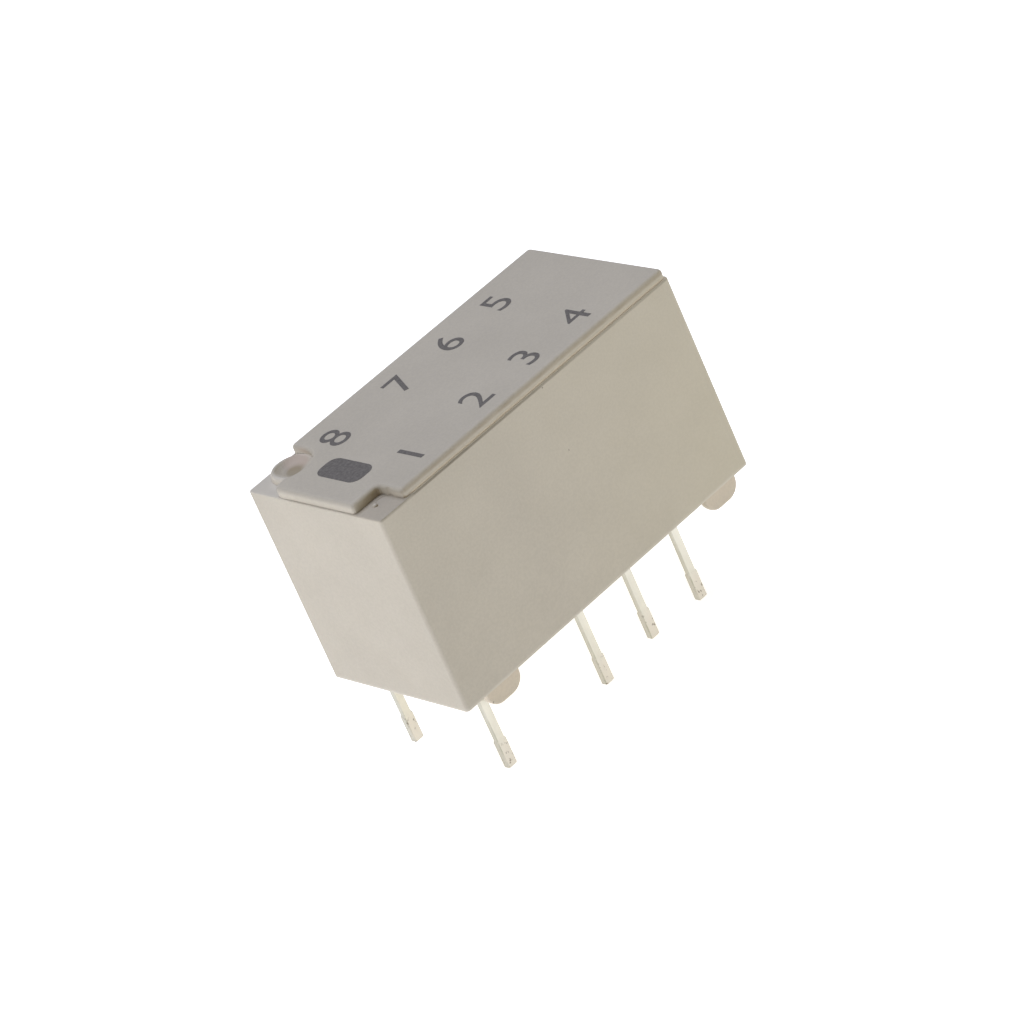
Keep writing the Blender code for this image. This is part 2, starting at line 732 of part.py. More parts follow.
def make_magnet():
    half = (MAGNET_LENGTH / 2, MAGNET_WIDTH / 2)
    low = (AXIS_X - half[0], -half[1], AXIS_Z + RUNNING)
    high = (AXIS_X + half[0], half[1], CORE_UNDERSIDE - SEAT)
    return dress(box("permanent_magnet", low, high), "magnet")


def cross_section(half_width, half_height, radius, steps=4):
    """A rounded rectangle round the core's own axis, as (y, z)."""
    return rounded((-half_width, COIL_Z - half_height), (half_width, COIL_Z + half_height), radius, steps)


def tube_half():
    """Half width and half height of the bobbin's tube."""
    return CORE_WIDTH / 2 + FIT + TUBE_WALL, CORE_THICKNESS / 2 + FIT + TUBE_WALL


def flange(start, end):
    xs = sorted((AXIS_X + start, AXIS_X + end))
    outline = rounded((-FLANGE_HALF_WIDTH, FLANGE_BOTTOM), (FLANGE_HALF_WIDTH, FLANGE_TOP), FLANGE_ROUND)
    return prism("flange", outline, xs[0], xs[1], "X")


def make_bobbin():
    tube = cross_section(*tube_half(), TUBE_WALL / 2)
    bobbin = prism("bobbin", tube, AXIS_X - FLANGE_OUTSIDE, AXIS_X + FLANGE_OUTSIDE, "X")
    join(bobbin, flange(-MIDDLE_FLANGE_HALF, MIDDLE_FLANGE_HALF))
    for _, direction_x in ENDS:
        join(bobbin, flange(direction_x * FLANGE_OUTSIDE, direction_x * (FLANGE_OUTSIDE - FLANGE_THICKNESS)))
    join(bobbin, coil_block())
    cut(bobbin, core_strip("bore", FIT))
    cut(bobbin, magnet_pocket())
    for _, side in SIDES:
        cut(bobbin, pin_hole(COIL_PIN_X, side, 0, FLANGE_TOP))
        cut(bobbin, lead_notch(side))
    return dress(bobbin, "black_plastic")


def magnet_pocket():
    half = (MAGNET_LENGTH / 2 + FIT, MAGNET_WIDTH / 2 + FIT)
    low = (AXIS_X - half[0], -half[1], FLANGE_BOTTOM - FIT)
    return box("pocket", low, (AXIS_X + half[0], half[1], COIL_Z))


def coil_block():
    """The ledge at the near end that holds the coil pins, open round the core's leg."""
    x0 = -INSIDE_HALF_LENGTH + FLANGE_SIDE_GAP
    x1 = AXIS_X - FLANGE_OUTSIDE + FLANGE_THICKNESS / 2
    half = FLANGE_HALF_WIDTH
    top = FLANGE_BOTTOM + COIL_BLOCK_HEIGHT
    ledge = box("ledge", (x0, -half, FLANGE_BOTTOM), (x1, half, top))
    gap = POLE_WIDTH / 2 + FIT
    window = box(
        "window",
        (AXIS_X - CORE_HALF - FIT, -gap, FLANGE_BOTTOM - FIT),
        (AXIS_X - FLANGE_OUTSIDE, gap, top + FIT),
    )
    return cut(ledge, window)


def lead_notch(side):
    """Lets a lead pass the near flange."""
    deep = 4 * LEAD_RADIUS
    ys = sorted((side * (lead_line() - deep), side * (FLANGE_HALF_WIDTH + FIT)))
    x0 = AXIS_X - FLANGE_OUTSIDE - FIT
    x1 = AXIS_X - FLANGE_OUTSIDE + FLANGE_THICKNESS + FIT
    z = lead_height()
    return box("notch", (x0, ys[0], z - deep), (x1, ys[1], z + deep))


def winding_half():
    """Half width and half height of the windings."""
    return FLANGE_HALF_WIDTH - WINDING_RECESS, (FLANGE_TOP - FLANGE_BOTTOM) / 2 - WINDING_RECESS


def make_winding(end, direction_x):
    """Half of the coil: a ring of wire between the middle flange and an end flange."""
    inner = MIDDLE_FLANGE_HALF + FIT
    outer = FLANGE_OUTSIDE - FLANGE_THICKNESS - FIT
    xs = sorted((AXIS_X + direction_x * inner, AXIS_X + direction_x * outer))
    ring = prism(f"coil_winding_{end}", cross_section(*winding_half(), WINDING_ROUND, 6), xs[0], xs[1], "X")
    tube = tube_half()
    hole = cross_section(tube[0] + FIT, tube[1] + FIT, TUBE_WALL / 2)
    cut(ring, prism("hole", hole, xs[0] - FIT, xs[1] + FIT, "X"))
    return dress(ring, "magnet_wire")


def wrap_radius():
    """From the middle of a coil pin to the middle of the lead wrapped round it."""
    return math.hypot(PIN_WIDTH / 2, PIN_THICKNESS / 2) + FIT + LEAD_RADIUS


def lead_line():
    """How far from the middle of the case a lead runs: beside its winding, and beside its pin."""
    return max(ROW_Y + wrap_radius(), winding_half()[0] + SEAT + LEAD_RADIUS)


def lead_height():
    return FLANGE_BOTTOM + COIL_BLOCK_HEIGHT + 4 * LEAD_RADIUS


def make_lead(label, side):
    """From the winding past the near flange to the coil pin, and round it in a helix."""
    radius = wrap_radius()
    z = lead_height()
    start = AXIS_X - FLANGE_OUTSIDE + 2 * FLANGE_THICKNESS
    y = lead_line()
    points = [(start, side * y, z)]
    for i in range(LEAD_TURNS * LEAD_STEPS + 1):
        turn = i / LEAD_STEPS
        angle = math.radians(90) + turn * 2 * math.pi
        points.append(
            (
                COIL_PIN_X + radius * math.cos(angle),
                side * (ROW_Y + radius * math.sin(angle)),
                z + turn * LEAD_PITCH,
            )
        )
    curve = bpy.data.curves.new(f"coil_lead_{label}", "CURVE")
    curve.dimensions = "3D"
    curve.bevel_depth = LEAD_RADIUS
    curve.bevel_resolution = 1
    curve.use_fill_caps = True
    spline = curve.splines.new("POLY")
    spline.points.add(len(points) - 1)
    for point, place_of in zip(spline.points, points):
        point.co = (*place_of, 1)
    item = bpy.data.objects.new(f"coil_lead_{label}", curve)
    bpy.context.scene.collection.objects.link(item)
    return dress(item, "magnet_wire")


# Armature, modelled round its rocking axis


def make_axis():
    """The empty on the rocking axis. At rest the far end is up, against its pole."""
    axis = bpy.data.objects.new("armature_axis", None)
    axis.empty_display_size = MM
    axis.location = (AXIS_X, 0, AXIS_Z)
    axis.rotation_euler = (0, -ROCK, 0)
    bpy.context.scene.collection.objects.link(axis)
    return axis


def make_armature_plate():
    half = (ARMATURE_HALF, ARMATURE_WIDTH / 2)
    bottom = ARMATURE_BOTTOM - AXIS_Z
    top = ARMATURE_TOP - AXIS_Z
    plate = prism(
        "armature_plate",
        rounded((-half[0], -half[1]), half, ARMATURE_KEY_DEPTH, 3),
        bottom,
        top,
    )
    for _, direction_x in ENDS:
        for _, side in SIDES:
            cut(plate, key(direction_x, side, 0, bottom - FIT, top + FIT))
    round_top = arc((0, -RIDGE_RADIUS), RIDGE_RADIUS, 0, 180, 16)
    ridge = prism("ridge", round_top, -half[1] + FIT, half[1] - FIT, "Y")
    return dress(join(plate, ridge), "soft_iron")


def key(direction_x, side, shrink, low, high):
    """A notch in the plate's edge, or the lug of the block that fills it."""
    centre = direction_x * (WING_HALF_LENGTH + BLOCK_HALF_LENGTH) / 2
    half = ARMATURE_KEY_LENGTH / 2 - shrink
    edge = ARMATURE_WIDTH / 2
    ys = sorted((side * (edge - ARMATURE_KEY_DEPTH + shrink), side * (edge + ARMATURE_KEY_DEPTH / 2)))
    return box("key", (centre - half, ys[0], low), (centre + half, ys[1], high))


def make_armature_block():
    bottom = BLOCK_BOTTOM - AXIS_Z
    top = BLOCK_TOP - AXIS_Z
    half_width = ARMATURE_WIDTH / 2 + ARMATURE_KEY_DEPTH / 2
    length = BLOCK_HALF_LENGTH
    block = prism(
        "armature_block",
        rounded((-length, -half_width), (length, half_width), BLOCK_END_ROUND),
        bottom,
        top,
    )
    lug_top = ARMATURE_TOP - AXIS_Z
    for _, direction_x in ENDS:
        for _, side in SIDES:
            join(block, wing(direction_x, side, bottom, top))
            join(block, key(direction_x, side, FIT, bottom + BLOCK_COVER, lug_top))
    for _, side in SIDES:
        cut(block, spring_slot(side))
    return dress(block, "white_plastic")


def wing(direction_x, side, bottom, top):
    """The part of the block that is moulded round a spring, on one side of the hinge arm."""
    xs = sorted((direction_x * WING_GAP, direction_x * WING_HALF_LENGTH))
    outer = SPRING_LINE + SPRING_WIDTH / 2 + FIT + WING_WALL
    ys = sorted((0, side * outer))
    return box("wing", (xs[0], ys[0], bottom), (xs[1], ys[1], top))


def spring_slot(side):
    half_width = SPRING_WIDTH / 2 + FIT
    ys = sorted((side * (SPRING_LINE - half_width), side * (SPRING_LINE + half_width)))
    middle = SPRING_Z - AXIS_Z
    half = SPRING_THICKNESS / 2 + FIT
    reach = BLOCK_HALF_LENGTH + SPRING_WIDTH
    return box("slot", (-reach, ys[0], middle - half), (reach, ys[1], middle + half))


def hinge_pad_end():
    """How far from the middle the hinge pads and the common pins' tops reach."""
    return INSIDE_HALF_WIDTH - 2 * RUNNING


def spring_outline(side):
    """A leaf with split ends, and a hinge arm that ends in a pad, as (x, y)."""
    end = CONTACT_ARM + SPRING_OVERHANG
    half = SPRING_WIDTH / 2
    slot = SPRING_SLOT / 2
    slot_end = BLOCK_HALF_LENGTH - SPRING_SLOT_LEAD
    neck = HINGE_NECK / 2
    pad = HINGE_PAD_LENGTH / 2
    pad_end = hinge_pad_end() - SPRING_LINE
    pad_start = pad_end - HINGE_PAD_WIDTH
    r = slot
    right = (
        [(0, -half)]
        + arc((end - r, -half + r), r, -90, 0, 2)
        + [(end, -slot)]
        + arc((slot_end + slot, 0), slot, 270, 90, 4)
        + [(end, slot)]
        + arc((end - r, half - r), r, 0, 90, 2)
        + [(neck, half), (neck, pad_start), (pad, pad_start), (pad, pad_end)]
    )
    left = [(-x, y) for x, y in right[1:]]
    outline = right + left[::-1]
    return [(x, side * (y + SPRING_LINE)) for x, y in outline]


def make_spring(label, side):
    middle = SPRING_Z - AXIS_Z
    half = SPRING_THICKNESS / 2
    leaf = prism(f"spring_{label}", spring_outline(side), middle - half, middle + half)
    return dress(leaf, "spring_copper")


def make_moving_contact(label, side, end, direction_x, finger, offset):
    """A half-round crossbar along Y, under one finger of a spring."""
    width = (SPRING_WIDTH - SPRING_SLOT) / 2
    y = side * (SPRING_LINE + offset * (SPRING_SLOT + width) / 2)
    top = SPRING_Z - AXIS_Z - SPRING_THICKNESS / 2 - SEAT
    outline = arc((direction_x * CONTACT_ARM, top), MOVING_CONTACT_RADIUS, 180, 360, 8)
    name = f"moving_contact_{label}_{end}_{finger}"
    half = width / 2 - SEAT
    return dress(prism(name, outline, y - half, y + half, "Y"), "silver_contact")


def make_armature():
    axis = make_axis()
    place(make_armature_plate(), axis)
    place(make_armature_block(), axis)
    for label, side in SIDES:
        place(make_spring(label, side), axis)
        for end, direction_x in ENDS:
            for finger, offset in (("inner", -1), ("outer", 1)):
                place(make_moving_contact(label, side, end, direction_x, finger, offset), axis)


def main():
    clear_scene()
    make_case()
    make_base()
    make_resin()
    make_core()
    make_magnet()
    make_bobbin()
    for end, direction_x in ENDS:
        make_winding(end, direction_x)
    for label, side in SIDES:
        make_coil_pin(label, side)
        make_common_pin(label, side)
        make_lead(label, side)
        for end, direction_x in ENDS:
            make_contact_pin(end, direction_x, label, side)
            make_fixed_contact(end, direction_x, label, side)
    make_armature()


main()
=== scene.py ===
"""Looks of a sealed signal relay: the finish of every solid, the print on its top, camera, floor and light."""

import json
import math
from collections import namedtuple

import bmesh
import bpy
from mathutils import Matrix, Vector


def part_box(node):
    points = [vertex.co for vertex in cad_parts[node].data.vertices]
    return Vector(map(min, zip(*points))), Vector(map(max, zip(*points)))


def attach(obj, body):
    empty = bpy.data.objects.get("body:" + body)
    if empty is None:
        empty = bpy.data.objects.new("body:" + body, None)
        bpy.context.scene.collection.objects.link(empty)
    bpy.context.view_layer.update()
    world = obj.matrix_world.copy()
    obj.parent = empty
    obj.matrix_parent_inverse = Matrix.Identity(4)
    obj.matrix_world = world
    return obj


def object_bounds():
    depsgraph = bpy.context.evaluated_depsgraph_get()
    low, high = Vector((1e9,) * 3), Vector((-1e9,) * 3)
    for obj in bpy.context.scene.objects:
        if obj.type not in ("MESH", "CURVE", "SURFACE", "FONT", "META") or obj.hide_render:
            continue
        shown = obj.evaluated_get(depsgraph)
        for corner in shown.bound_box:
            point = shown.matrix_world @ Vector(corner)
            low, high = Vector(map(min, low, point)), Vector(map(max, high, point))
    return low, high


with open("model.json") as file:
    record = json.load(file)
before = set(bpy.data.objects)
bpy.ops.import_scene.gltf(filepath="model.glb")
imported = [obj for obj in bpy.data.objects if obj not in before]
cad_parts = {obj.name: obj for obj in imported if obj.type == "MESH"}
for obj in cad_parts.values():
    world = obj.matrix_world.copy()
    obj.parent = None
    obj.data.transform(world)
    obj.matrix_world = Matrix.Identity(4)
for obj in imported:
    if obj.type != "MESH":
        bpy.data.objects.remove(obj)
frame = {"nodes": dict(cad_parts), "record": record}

CAD_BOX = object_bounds()
NODES = frame["nodes"]
MM = 0.001

# Camera, fitted to the photograph
CAMERA_PLACE = (-78.361 * MM, -122.637 * MM, 84.290 * MM)
CAMERA_TURN = (59.5926, 21.1529, -44.4748)  # degrees
CAMERA_SENSOR = 36.0
CAMERA_LENS = 164.863

# Lamps: name, place, width, power and colour
LAMPS = (
    ("key", (-0.30, 0.07, 0.07), 0.22, 0.505, (1.0, 0.98, 1.0)),
    ("fill", (0.09, -0.11, 0.05), 0.10, 0.034, (1.0, 0.88, 0.55)),
    ("top", (0.05, 0.08, 0.32), 0.25, 0.755, (0.80, 0.84, 1.0)),
)
LAMP_TARGET = (0, 0, 7 * MM)
WORLD_STRENGTH = 0.17

# Floor
FLOOR_HALF = 1.5
FLOOR_COLOUR = (0.75, 0.75, 0.75)
FLOOR_GLOW = 0.78

# Colours of the solids, linear
CASE_COLOUR = (0.505, 0.464, 0.386)
BASE_COLOUR = (0.575, 0.507, 0.405)
RESIN_COLOUR = (0.55, 0.47, 0.33)
BOBBIN_COLOUR = (0.022, 0.022, 0.025)
BLOCK_COLOUR = (0.68, 0.66, 0.60)
WIRE_COLOUR = (0.50, 0.15, 0.05)
IRON_COLOUR = (0.50, 0.49, 0.46)
MAGNET_COLOUR = (0.10, 0.10, 0.105)
SPRING_COLOUR = (0.70, 0.40, 0.20)
SILVER_COLOUR = (0.82, 0.78, 0.66)
TIN_COLOUR = (0.68, 0.655, 0.565)
FLANK_SHADE_COLOUR = (0.47, 0.455, 0.39)
EDGE_SHADE_COLOUR = (0.36, 0.36, 0.27)
SOLDER_COLOUR = (0.68, 0.64, 0.56)
INK_COLOUR = (0.13, 0.121, 0.112)

# Colours of painted light and shade, and of flecks and specks, linear
BROWN_SHADE_COLOUR = (0.19, 0.13, 0.067)
NOTCH_SHADE_COLOUR = (0.30, 0.19, 0.05)
CORNER_SHADE_COLOUR = (0.177, 0.163, 0.138)
LINE_SHADE_COLOUR = (0.18, 0.155, 0.11)
LEDGE_LIGHT_COLOUR = (0.66, 0.59, 0.47)
END_SHADE_COLOUR = (0.30, 0.29, 0.26)
# The colour of painted light on the lip, rim corner, vent foot and lower edge
PAINTED_LIGHT_COLOUR = (0.66, 0.62, 0.54)
WARM_LIGHT_COLOUR = (0.56, 0.51, 0.37)
PINK_LIGHT_COLOUR = (0.50, 0.40, 0.32)
BOWL_SHADE_COLOUR = (0.30, 0.245, 0.152)
SPECK_COLOUR = (0.16, 0.13, 0.10)

# Strengths of painted light and shade, and of flecks and specks
FAR_CORNER_LIGHT = 0.5
END_SHADE = 0.25
CORNER_LIGHT = 0.55
NOTCH_FLOOR_SHADE = 0.2
VENT_FOOT_LIGHT = 0.9
MOUTH_HIGHLIGHT = 0.5
FLECK = 0.75
SPECK = 0.7
# Painted shade in the narrow corners of the case and of the base
CASE_CORNER_SHADE = 0.7
BASE_CORNER_SHADE = 0.3

# Places on the case
PANEL_TOP = CAD_BOX[1].z
RIM = PANEL_TOP - 0.38 * MM
MOUTH = 3.75 * MM
HALF_LENGTH = 7.4 * MM
PANEL_FRONT = -3.52 * MM
NOTCH_INNER = -6.1 * MM
NOTCH_SIDE = -2.0 * MM
RIM_CORNER_SIDE = 1.4 * MM
GATE = (-6.4 * MM, -2.79 * MM, RIM)
VENT_FAR_SIDE = (-5.5 * MM, 2.9 * MM, RIM)

# Lines along the case
FRONT_CREASE = (0, PANEL_FRONT, RIM)
# Where the painted shade line below the panel's front runs
FRONT_SHADE_LINE = (0, -3.595 * MM, RIM - 0.05 * MM)

# Round patches of painted light and shade at the vent: none beyond the clear distance, all of the strength
# within the full one
PaintedSpot = namedtuple("PaintedSpot", "middle clear full strength colour")
LIT_LIP = PaintedSpot((-6.65 * MM, 2.6 * MM, RIM + 0.1 * MM), 0.55 * MM, 0.25 * MM, 0.6, PAINTED_LIGHT_COLOUR)
PINK_LIGHT_SIDE = PaintedSpot(VENT_FAR_SIDE, 0.65 * MM, 0.35 * MM, 0.75, PINK_LIGHT_COLOUR)
SHADED_BOWL = PaintedSpot((-5.95 * MM, 2.63 * MM, RIM), 0.50 * MM, 0.2 * MM, 0.8, BOWL_SHADE_COLOUR)

# Dark flecks: middle and radius
FLECKS = (
    ((0.68 * MM, -3.6 * MM, 9.1 * MM), 0.035 * MM),
    ((0.71 * MM, -3.6 * MM, 11.70 * MM), 0.035 * MM),
    ((-6.10 * MM, -3.22 * MM, 3.08 * MM), 0.05 * MM),
)

# Pins, in heights above the tip
SOLDER_LINE = 1.17 * MM
SOLDER_WOBBLE = 0.04 * MM
EDGE_SHADE_LOW = 0.9 * MM
EDGE_SHADE_HIGH = 2.4 * MM

WIRE_PITCH = 0.07 * MM

# Refraction
PLASTIC_IOR = 1.5
RESIN_IOR = 1.55
INK_IOR = 1.3

# Print
INK_SUNK = 0.004 * MM
INK_PROUD = 0.005 * MM
BAR_LOW = (-6.3 * MM, -1.31 * MM)
BAR_HIGH = (-5.22 * MM, 0.97 * MM)
BAR_CORNER = 0.4 * MM
NUMBER_SIZE = 1.9 * MM
NUMBER_COLUMNS = (-4.3 * MM, -1.02 * MM, 1.52 * MM, 4.06 * MM)
NUMBER_ROWS = (("1234", -2.8 * MM), ("8765", 1.3 * MM))

# The stretch that noise mostly keeps to
NOISE_LOW = 0.3
NOISE_HIGH = 0.7


# Node helpers


def add(tree, kind, inputs=None, **settings):
    """Adds a shader node. An input's value is a number, a tuple or another node's output."""
    made = tree.nodes.new("ShaderNode" + kind)
    for key, value in settings.items():
        setattr(made, key, value)
    for key, value in (inputs or {}).items():
        socket = made.inputs[key]
        if isinstance(value, bpy.types.NodeSocket):
            tree.links.new(value, socket)
        else:
            socket.default_value = value
    return made


def calculate(tree, operation, first, second=0.0):
    return add(tree, "Math", {0: first, 1: second}, operation=operation).outputs["Value"]


def times(tree, first, *others):
    for other in others:
        first = calculate(tree, "MULTIPLY", first, other)
    return first


def absolute(tree, value):
    return calculate(tree, "ABSOLUTE", value)


def vector_math(tree, operation, output, *vectors):
    return add(tree, "VectorMath", dict(enumerate(vectors)), operation=operation).outputs[output]


def place(tree):
    """Object coordinates, in metres in the row frame."""
    return add(tree, "TexCoord").outputs["Object"]


def axis(tree, name):
    """One coordinate of the place, in metres."""
    return add(tree, "SeparateXYZ", {0: place(tree)}).outputs[name]


def stretched(tree, scale):
    return add(tree, "Mapping", {"Vector": place(tree), "Scale": scale}).outputs["Vector"]


def away_from(tree, middle):
    """The distance from a point, in metres."""
    return vector_math(tree, "DISTANCE", "Value", place(tree), middle)


def from_line(tree, line):
    """The distance from a line that runs along the case, in metres."""
    return vector_math(tree, "DISTANCE", "Value", stretched(tree, (0, 1, 1)), line)


def facing(tree, way):
    """How far a face looks that way, from -1 to 1."""
    normal = add(tree, "TexCoord").outputs["Normal"]
    return vector_math(tree, "DOT_PRODUCT", "Value", normal, way)


def open_air(tree, distance):
    """1 in the open, less in a narrow corner."""
    return add(tree, "AmbientOcclusion", {"Distance": distance}, samples=8).outputs["AO"]


def ramp(tree, value, low, high, out_low=0.0, out_high=1.0, smooth=False):
    """Maps low..high to out_low..out_high, and clamps."""
    inputs = {"Value": value, "From Min": low, "From Max": high, "To Min": out_low, "To Max": out_high}
    kind = "SMOOTHSTEP" if smooth else "LINEAR"
    return add(tree, "MapRange", inputs, interpolation_type=kind).outputs["Result"]


def noise(tree, size, detail=2.0, vector=None):
    """Noise with features of about that size in metres, from 0 to 1."""
    inputs = {"Vector": vector or place(tree), "Scale": 1 / size, "Detail": detail}
    return add(tree, "TexNoise", inputs).outputs["Fac"]


def patches(tree, size, detail, low=0.0, high=1.0, vector=None):
    """Uneven patches of about that size in metres, between two values."""
    return ramp(tree, noise(tree, size, detail, vector), NOISE_LOW, NOISE_HIGH, low, high)


def mix(tree, factor, first, second, blend="MIX"):
    """Mixes two colours."""
    made = add(tree, "Mix", {0: factor}, data_type="RGBA", blend_type=blend)
    for index, value in ((6, first), (7, second)):
        if isinstance(value, bpy.types.NodeSocket):
            tree.links.new(value, made.inputs[index])
        else:
            made.inputs[index].default_value = (*value, 1)
    return made.outputs[2]


def grey(tree, value):
    return add(tree, "CombineColor", {0: value, 1: value, 2: value}).outputs[0]


def shade(colour, factor):
    return tuple(part * factor for part in colour)


def bump(tree, height, distance, normal=None):
    inputs = {"Height": height, "Distance": distance, "Strength": 1.0}
    if normal:
        inputs["Normal"] = normal
    return add(tree, "Bump", inputs).outputs["Normal"]


def new_material(name, **constants):
    """A material, its node tree and its shader, with _ for a space in a socket's name."""
    material = bpy.data.materials.new(name)
    material.use_nodes = True
    shader = material.node_tree.nodes["Principled BSDF"]
    for key, value in constants.items():
        shader.inputs[key.replace("_", " ")].default_value = value
    return material, material.node_tree, shader


def link(tree, shader, **sockets):
    """Links outputs to the shader's sockets, with _ for a space in a socket's name."""
    for key, output in sockets.items():
        tree.links.new(output, shader.inputs[key.replace("_", " ")])


# Painted light and shade, and flecks


def painted_corner_shade(tree, toned, strength):
    """Painted shade in the narrow corners, darker where less open air reaches them."""
    corner = ramp(tree, open_air(tree, 0.12 * MM), 0.2, 0.75, 1.0, 0.0, smooth=True)
    return mix(tree, times(tree, corner, strength), toned, CORNER_SHADE_COLOUR)


def flecks(tree, toned):
    """A few dark flecks in the plastic."""
    for middle, radius in FLECKS:
        ragged = patches(tree, radius, 2, 0.6 * radius, 1.4 * radius)
        inside = calculate(tree, "SUBTRACT", ragged, away_from(tree, middle))
        toned = mix(tree, ramp(tree, inside, 0, 0.4 * radius, 0, FLECK), toned, SPECK_COLOUR)
    return toned


def painted_spot(tree, toned, shape):
    """A round patch of painted light or painted shade with a soft edge."""
    inside = ramp(tree, away_from(tree, shape.middle), shape.clear, shape.full, 0, shape.strength, smooth=True)
    return mix(tree, inside, toned, shape.colour)


def lit_far_corner(tree, toned):
    """Painted warm light: the front wall is lighter and yellower towards its far lower corner."""
    front = ramp(tree, facing(tree, (0, -1, 0)), 0.5, 0.9)
    far = ramp(tree, axis(tree, "X"), -2 * MM, HALF_LENGTH)
    low = ramp(tree, axis(tree, "Z"), RIM, MOUTH, 0.5, 1.0)
    return mix(tree, times(tree, front, far, low, FAR_CORNER_LIGHT), toned, WARM_LIGHT_COLOUR)


def notch_shade(tree, toned):
    """Painted brown shade on the wall of the notch that faces the front, where the notch encloses it, deeper
    at its inner end.
    """
    front = ramp(tree, facing(tree, (0, -1, 0)), 0.35, 0.85)
    enclosed = ramp(tree, open_air(tree, 1.0 * MM), 0.82, 0.66)
    inner = ramp(tree, axis(tree, "X"), -HALF_LENGTH, NOTCH_INNER, 0.05, 0.66)
    uneven = patches(tree, 0.35 * MM, 2, 0.8, 1.0)
    return mix(tree, times(tree, front, enclosed, inner, uneven), toned, NOTCH_SHADE_COLOUR)


def front_edge_shade(tree, toned):
    """Painted brown shade that deepens over the panel's rounded front edge and stops on the wall below it."""
    level = axis(tree, "Z")
    over = ramp(tree, level, PANEL_TOP - 0.02 * MM, PANEL_TOP - 0.12 * MM)
    under = ramp(tree, level, PANEL_TOP - 0.25 * MM, PANEL_TOP - 0.15 * MM, smooth=True)
    front = ramp(tree, axis(tree, "Y"), PANEL_FRONT + 0.2 * MM, PANEL_FRONT + 0.1 * MM)
    uneven = patches(tree, 0.6 * MM, 2, 0.32, 0.48)
    return mix(tree, times(tree, front, over, under, uneven), toned, BROWN_SHADE_COLOUR)


def front_shade_line(tree, toned):
    """A painted shade line along the panel's front, below a ledge painted lighter against its own shade, and
    fainter towards both ends.
    """
    along = axis(tree, "X")
    beside_notch = ramp(tree, along, -5.9 * MM, -5.6 * MM)
    ledge = ramp(tree, from_line(tree, FRONT_CREASE), 0.09 * MM, 0.04 * MM)
    toned = mix(tree, times(tree, ledge, beside_notch), toned, LEDGE_LIGHT_COLOUR)
    line = ramp(tree, from_line(tree, FRONT_SHADE_LINE), 0.065 * MM, 0.02 * MM, smooth=True)
    past_notch = ramp(tree, beside_notch, 0, 1, 0.4, 1)
    near = ramp(tree, along, -4 * MM, 5 * MM, 0.9, 0.4)
    uneven = patches(tree, 0.8 * MM, 2, 0.8, 1.0)
    return mix(tree, times(tree, line, past_notch, near, uneven), toned, LINE_SHADE_COLOUR)


def end_wall_shade(tree, toned):
    """Painted grey shade on the upper part of the panel's end wall."""
    end = ramp(tree, facing(tree, (-1, 0, 0)), 0.35, 0.6)
    high = ramp(tree, axis(tree, "Z"), RIM + 0.17 * MM, RIM + 0.24 * MM)
    return mix(tree, times(tree, end, high, END_SHADE), toned, END_SHADE_COLOUR)


def rim_light_and_shade(tree, toned):
    """The rim's level strip: painted light in the corner before the vent, painted shade in the notch."""
    level, across = axis(tree, "Z"), axis(tree, "Y")
    below_panel = ramp(tree, level, RIM + 0.06 * MM, RIM + 0.02 * MM)
    above_wall = ramp(tree, level, RIM - 0.06 * MM, RIM - 0.02 * MM)
    near_end = ramp(tree, axis(tree, "X"), -5.6 * MM, -6.2 * MM)
    strip = times(tree, below_panel, above_wall, near_end)
    corner = ramp(tree, across, RIM_CORNER_SIDE - 0.2 * MM, RIM_CORNER_SIDE + 0.2 * MM)
    notch = ramp(tree, across, NOTCH_SIDE + 0.2 * MM, NOTCH_SIDE - 0.2 * MM)
    toned = mix(tree, times(tree, strip, corner, CORNER_LIGHT), toned, PAINTED_LIGHT_COLOUR)
    return mix(tree, times(tree, strip, notch, NOTCH_FLOOR_SHADE), toned, BROWN_SHADE_COLOUR)


def vent_light_and_shade(tree, toned):
    """The melted vent: a painted highlight on the near lip, painted pink light on the far side with painted
    light over the shade at its foot, and painted brown shade in the bowl.
    """
    toned = painted_spot(tree, toned, LIT_LIP)
    toned = painted_spot(tree, toned, PINK_LIGHT_SIDE)
    foot = ramp(tree, open_air(tree, 0.25 * MM), 0.9, 0.55)
    far = ramp(tree, away_from(tree, VENT_FAR_SIDE), 0.7 * MM, 0.5 * MM)
    toned = mix(tree, times(tree, foot, far, VENT_FOOT_LIGHT), toned, PAINTED_LIGHT_COLOUR)
    return painted_spot(tree, toned, SHADED_BOWL)


def lit_mouth_edge(tree, toned):
    """A painted highlight along the lower edge of the case."""
    lit_band = ramp(tree, axis(tree, "Z"), MOUTH + 0.14 * MM, MOUTH + 0.05 * MM, smooth=True)
    return mix(tree, times(tree, lit_band, MOUTH_HIGHLIGHT), toned, PAINTED_LIGHT_COLOUR)


def case_light_shade_and_flecks(tree, toned):
    """The painted light and shade of the case, and its flecks. Its corners get no painted shade at the panel's
    front, the vent and the gate.
    """
    behind_front = ramp(tree, axis(tree, "Y"), PANEL_FRONT, PANEL_FRONT + 0.1 * MM, 0, CASE_CORNER_SHADE)
    past_vent = ramp(tree, away_from(tree, VENT_FAR_SIDE), 0.7 * MM, 1.1 * MM)
    past_gate = ramp(tree, away_from(tree, GATE), 0.4 * MM, 0.5 * MM)
    toned = painted_corner_shade(tree, toned, times(tree, behind_front, past_vent, past_gate))
    walls = (lit_far_corner, notch_shade)
    edges = (front_edge_shade, front_shade_line, end_wall_shade, rim_light_and_shade, vent_light_and_shade, lit_mouth_edge)
    for add_tone in walls + edges:
        toned = add_tone(tree, toned)
    return flecks(tree, toned)


# Painted shade in the base's corners, and its flecks
def base_shade_and_flecks(tree, toned):
    return flecks(tree, painted_corner_shade(tree, toned, BASE_CORNER_SHADE))


# Finishes


